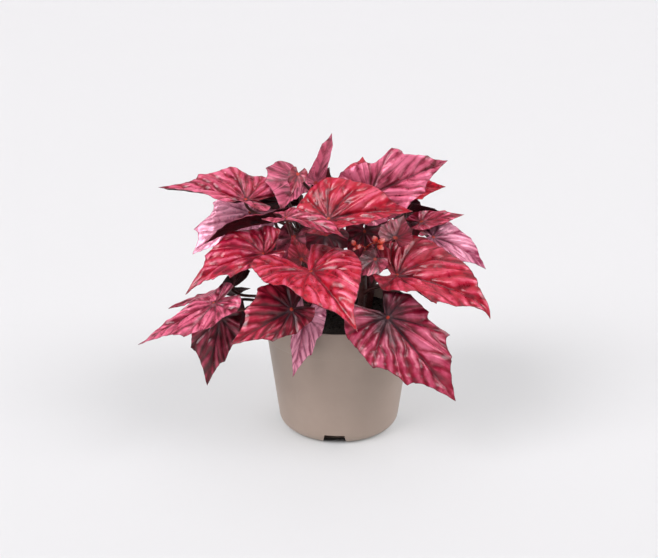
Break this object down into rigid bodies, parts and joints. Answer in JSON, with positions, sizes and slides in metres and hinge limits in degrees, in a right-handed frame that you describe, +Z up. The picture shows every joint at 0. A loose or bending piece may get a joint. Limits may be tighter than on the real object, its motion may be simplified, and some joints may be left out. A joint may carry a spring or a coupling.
{
  "type": "potted foliage begonia",
  "caption": "Potted angel-wing begonia with lobed, pointed crimson and pink leaves, small flower buds and a round taupe nursery pot.",
  "frame": {"origin": "centre of the pot's underside, on the surface it stands on", "axes": "+Z up along the pot's axis; -Y towards the front of the plant; +X to the plant's right as seen from the front"},
  "size_m": [0.365, 0.312, 0.3341],
  "materials": {
    "pot": "satin",
    "soil": "matte",
    "cane": "satin",
    "bud": "satin",
    "leaf_crimson": "satin",
    "leaf_rose": "satin",
    "leaf_lilac": "satin",
    "leaf_wine": "satin"
  },
  "bodies": {
    "root": {"pot": "pot", "soil": "soil", "cane_1": "cane", "cane_2": "cane", "cane_3": "cane", "cane_4": "cane", "cane_5": "cane", "flower_spray": "bud", "leaf_01": "leaf_crimson", "leaf_02": "leaf_crimson", "leaf_03": "leaf_lilac", "leaf_04": "leaf_rose", "leaf_05": "leaf_crimson", "leaf_06": "leaf_lilac", "leaf_07": "leaf_rose", "leaf_08": "leaf_crimson", "leaf_09": "leaf_rose", "leaf_10": "leaf_crimson", "leaf_11": "leaf_rose", "leaf_12": "leaf_wine", "leaf_13": "leaf_wine", "leaf_14": "leaf_crimson", "leaf_15": "leaf_rose", "leaf_16": "leaf_lilac", "leaf_17": "leaf_rose", "leaf_18": "leaf_rose", "leaf_19": "leaf_rose", "leaf_20": "leaf_rose", "leaf_21": "leaf_rose", "leaf_22": "leaf_wine", "leaf_23": "leaf_wine", "leaf_24": "leaf_rose", "leaf_25": "leaf_rose", "leaf_26": "leaf_rose", "leaf_27": "leaf_rose", "leaf_28": "leaf_rose", "leaf_29": "leaf_rose", "leaf_30": "leaf_rose", "leaf_31": "leaf_wine", "leaf_32": "leaf_wine", "leaf_33": "leaf_rose", "leaf_34": "leaf_crimson", "leaf_35": "leaf_rose", "leaf_36": "leaf_crimson", "leaf_37": "leaf_rose", "leaf_38": "leaf_crimson", "leaf_39": "leaf_crimson", "leaf_40": "leaf_rose", "leaf_41": "leaf_wine", "leaf_42": "leaf_crimson", "leaf_43": "leaf_wine", "leaf_44": "leaf_rose", "leaf_45": "leaf_crimson"}
  },
  "joints": []
}
